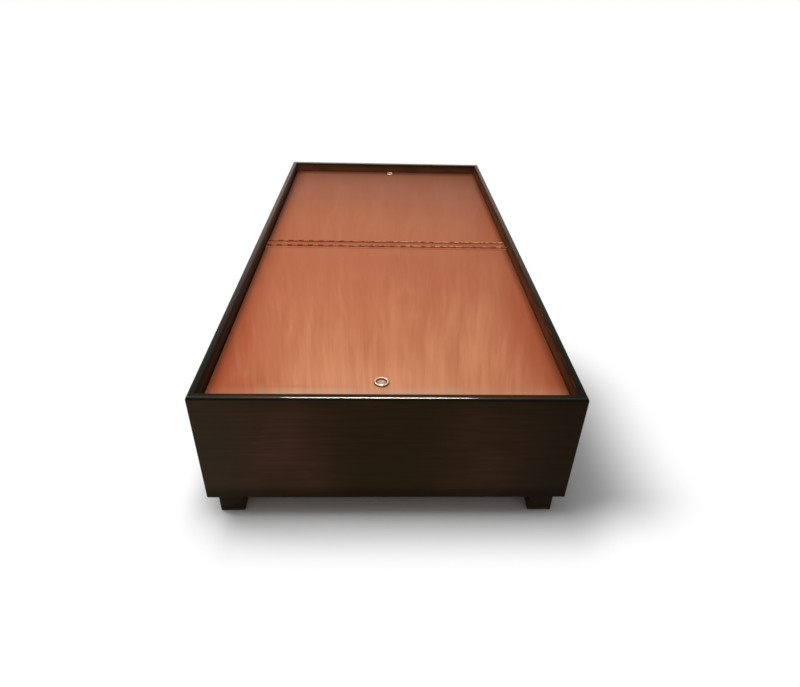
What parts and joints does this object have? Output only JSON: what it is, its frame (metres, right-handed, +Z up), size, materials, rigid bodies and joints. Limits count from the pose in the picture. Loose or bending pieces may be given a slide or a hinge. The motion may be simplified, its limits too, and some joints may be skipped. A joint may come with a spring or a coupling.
{
  "type": "storage divan",
  "caption": "Boarded storage divan on block feet: a mattress recess over two hinged lids with ring pulls, opening on two storage wells.",
  "frame": {"origin": "on the floor, under the middle of the box", "axes": "+X across to the right, +Y lengthwise from the front end to the back end, +Z up"},
  "size_m": [0.952, 1.943, 0.41],
  "materials": {
    "dark_wood": "dark stained, satin lacquer",
    "stained_ply": "reddish brown stain, satin lacquer",
    "framing_wood": "planed softwood, unfinished",
    "raw_ply": "plywood, unfinished",
    "hinge_leaf": "stained over with the lids",
    "hinge_pin": "drawn steel",
    "pull_metal": "plated, bright",
    "screw_steel": "zinc plated"
  },
  "bodies": {
    "carcass": {"back_board": "dark_wood", "back_hinge_pin": "hinge_pin", "back_hinge_strip_leaf": "hinge_leaf", "bottom_bearer_back": "framing_wood", "bottom_bearer_front": "framing_wood", "bottom_bearer_middle": "framing_wood", "bottom_cleat_back": "framing_wood", "bottom_cleat_front": "framing_wood", "bottom_cleat_left": "framing_wood", "bottom_cleat_right": "framing_wood", "bottom_cleat_screws": "screw_steel", "bottom_panel": "raw_ply", "bottom_panel_screws": "screw_steel", "centre_partition": "raw_ply", "centre_rail": "framing_wood", "centre_rail_screws": "screw_steel", "centre_strip": "stained_ply", "centre_strip_screws": "screw_steel", "corner_post_back_left": "framing_wood", "corner_post_back_right": "framing_wood", "corner_post_front_left": "framing_wood", "corner_post_front_right": "framing_wood", "corner_post_screws": "screw_steel", "foot_back_left": "dark_wood", "foot_back_right": "dark_wood", "foot_bolts": "screw_steel", "foot_front_left": "dark_wood", "foot_front_right": "dark_wood", "foot_washers": "screw_steel", "front_board": "dark_wood", "front_hinge_pin": "hinge_pin", "front_hinge_strip_leaf": "hinge_leaf", "left_board": "dark_wood", "lid_ledger_back": "framing_wood", "lid_ledger_front": "framing_wood", "lid_ledger_left": "framing_wood", "lid_ledger_right": "framing_wood", "lid_ledger_screws": "screw_steel", "partition_screws": "screw_steel", "partition_upright_left": "framing_wood", "partition_upright_right": "framing_wood", "partition_upright_screws": "screw_steel", "right_board": "dark_wood", "strip_hinge_screws": "screw_steel"},
    "front_lid": {"front_lid": "stained_ply", "front_hinge_lid_leaf": "hinge_leaf", "front_lid_hinge_screws": "screw_steel", "front_pull_plate": "pull_metal", "front_pull_eye": "pull_metal", "front_pull_screws": "screw_steel"},
    "back_lid": {"back_lid": "stained_ply", "back_hinge_lid_leaf": "hinge_leaf", "back_lid_hinge_screws": "screw_steel", "back_pull_plate": "pull_metal", "back_pull_eye": "pull_metal", "back_pull_screws": "screw_steel"},
    "front_ring": {"front_pull_ring": "pull_metal"},
    "back_ring": {"back_pull_ring": "pull_metal"}
  },
  "joints": [
    {"name": "front_lid_hinge", "type": "hinge", "parent": "carcass", "child": "front_lid", "pos_m": [0, -0.001, 0.371], "axis": [-1, 0, 0], "range_deg": [0, 90]},
    {"name": "back_lid_hinge", "type": "hinge", "parent": "carcass", "child": "back_lid", "pos_m": [0, 0.039, 0.371], "axis": [1, 0, 0], "range_deg": [0, 90]},
    {"name": "front_ring_pivot", "type": "hinge", "parent": "front_lid", "child": "front_ring", "pos_m": [-0.019, -0.87056, 0.37155], "axis": [1, 0, 0], "range_deg": [0, 180]},
    {"name": "back_ring_pivot", "type": "hinge", "parent": "back_lid", "child": "back_ring", "pos_m": [0.02, 0.90044, 0.37155], "axis": [1, 0, 0], "range_deg": [0, 180]}
  ]
}
